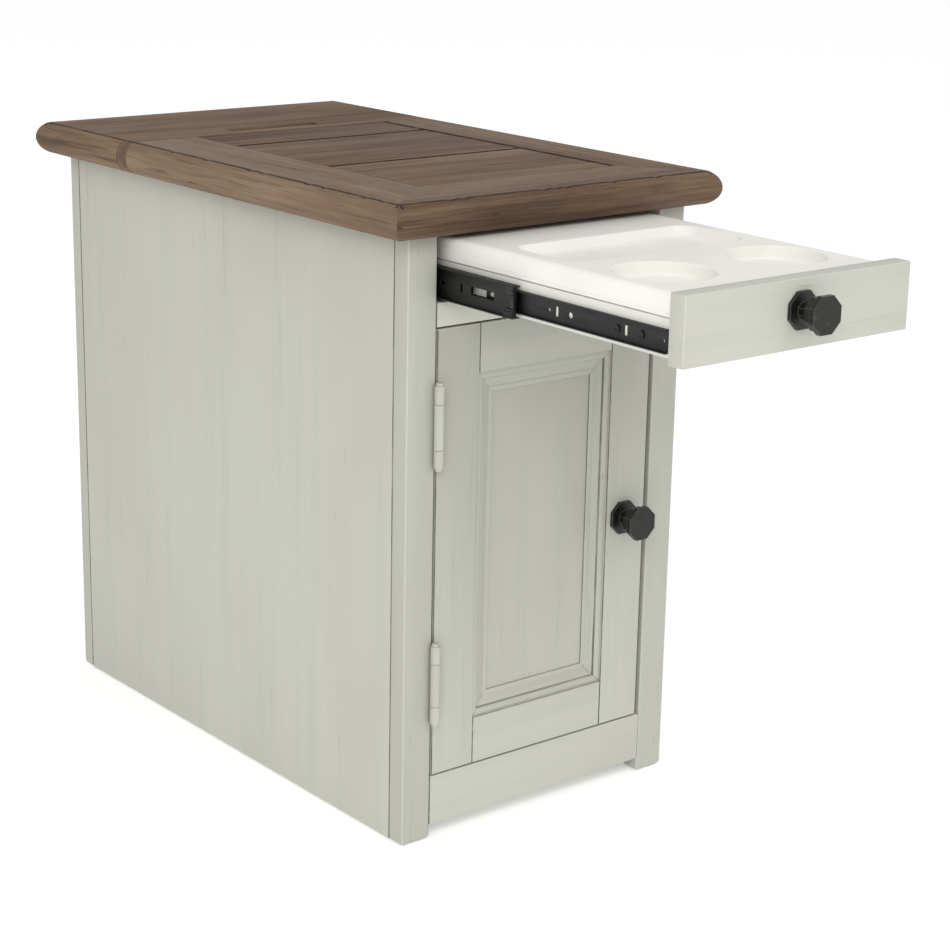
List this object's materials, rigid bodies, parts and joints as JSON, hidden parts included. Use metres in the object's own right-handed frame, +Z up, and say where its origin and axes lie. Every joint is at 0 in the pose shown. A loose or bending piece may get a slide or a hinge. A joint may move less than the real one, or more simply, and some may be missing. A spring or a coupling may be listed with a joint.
{
  "type": "side table with drawer",
  "caption": "Narrow side table with a pull-out cup-holder tray on ball slides, a panelled cupboard door, a shelf and a flip-up rear lid over a charging well.",
  "frame": {"origin": "on the floor, at the centre of the cabinet's footprint", "axes": "+Z up, the front with the door and the tray faces -Y, +X to the right seen from the front"},
  "size_m": [0.402, 0.99, 0.633],
  "materials": {
    "painted_wood": "antique off-white paint, brushed, satin",
    "tray_box": "white paint, satin",
    "tray_insert": "moulded, semi-gloss",
    "weathered_wood": "wire-brushed, weathered brown, matte",
    "slide_steel": "black coated steel",
    "screws": "blackened",
    "knob_metal": "black, satin",
    "painted_hinge": "painted with the cabinet",
    "lid_hinge": "black coated steel",
    "strike_plate": "zinc plated",
    "catch": "moulded",
    "charging_block": "moulded",
    "charging_face": "moulded",
    "grommet": "moulded"
  },
  "bodies": {
    "cabinet": {"post_front_left": "painted_wood", "post_front_right": "painted_wood", "post_back_left": "painted_wood", "post_back_right": "painted_wood", "side_panel_left": "painted_wood", "side_panel_right": "painted_wood", "back_panel": "painted_wood", "back_rail": "painted_wood", "bottom_rail": "painted_wood", "middle_rail": "painted_wood", "cupboard_floor": "painted_wood", "shelf": "painted_wood", "shelf_cleats": "painted_wood", "dust_panel": "painted_wood", "well_wall": "painted_wood", "top_cleats": "painted_wood", "slide_spacers": "painted_wood", "top_panel": "weathered_wood", "border_left": "weathered_wood", "border_right": "weathered_wood", "border_front": "weathered_wood", "cross_rail": "weathered_wood", "plank_back": "weathered_wood", "plank_middle": "weathered_wood", "plank_front": "weathered_wood", "fixed_slide_left": "slide_steel", "fixed_slide_right": "slide_steel", "door_hinge_fixed": "painted_hinge", "door_catch": "catch", "charging_block": "charging_block", "charging_face": "charging_face", "cord_grommet": "grommet", "lid_hinge_fixed": "lid_hinge"},
    "runner_left": {"mid_slide_left": "slide_steel"},
    "runner_right": {"mid_slide_right": "slide_steel"},
    "tray": {"tray_front": "painted_wood", "tray_side_left": "tray_box", "tray_side_right": "tray_box", "tray_back": "tray_box", "tray_bottom": "tray_box", "tray_insert": "tray_insert", "tray_slide_left": "slide_steel", "tray_slide_right": "slide_steel", "slide_screws": "screws", "tray_knob": "knob_metal"},
    "door": {"door_stile_left": "painted_wood", "door_stile_right": "painted_wood", "door_rail_top": "painted_wood", "door_rail_bottom": "painted_wood", "door_panel": "painted_wood", "moulding_sides": "painted_wood", "moulding_ends": "painted_wood", "door_knob": "knob_metal", "door_hinge_moving": "painted_hinge", "strike_plate": "strike_plate"},
    "lid": {"lid_board": "weathered_wood", "lid_hinge_moving": "lid_hinge"}
  },
  "joints": [
    {"name": "tray_slide", "type": "slide", "parent": "cabinet", "child": "tray", "axis": [0, -1, 0], "range_m": [-0.322, 0.058]},
    {"name": "left_runner_slide", "type": "slide", "parent": "cabinet", "child": "runner_left", "axis": [0, -1, 0], "range_m": [-0.1311, 0.0237]},
    {"name": "right_runner_slide", "type": "slide", "parent": "cabinet", "child": "runner_right", "axis": [0, -1, 0], "range_m": [-0.1311, 0.0237]},
    {"name": "door_hinge", "type": "hinge", "parent": "cabinet", "child": "door", "pos_m": [-0.137, -0.313, 0], "axis": [0, 0, -1], "range_deg": [0, 170]},
    {"name": "lid_hinge", "type": "hinge", "parent": "cabinet", "child": "lid", "pos_m": [0, 0.3112, 0.5965], "axis": [-1, 0, 0], "range_deg": [0, 95]}
  ],
  "couplings": [
    {"joint": "left_runner_slide", "follows": "tray_slide", "ratio": 0.4037},
    {"joint": "right_runner_slide", "follows": "tray_slide", "ratio": 0.4037}
  ]
}
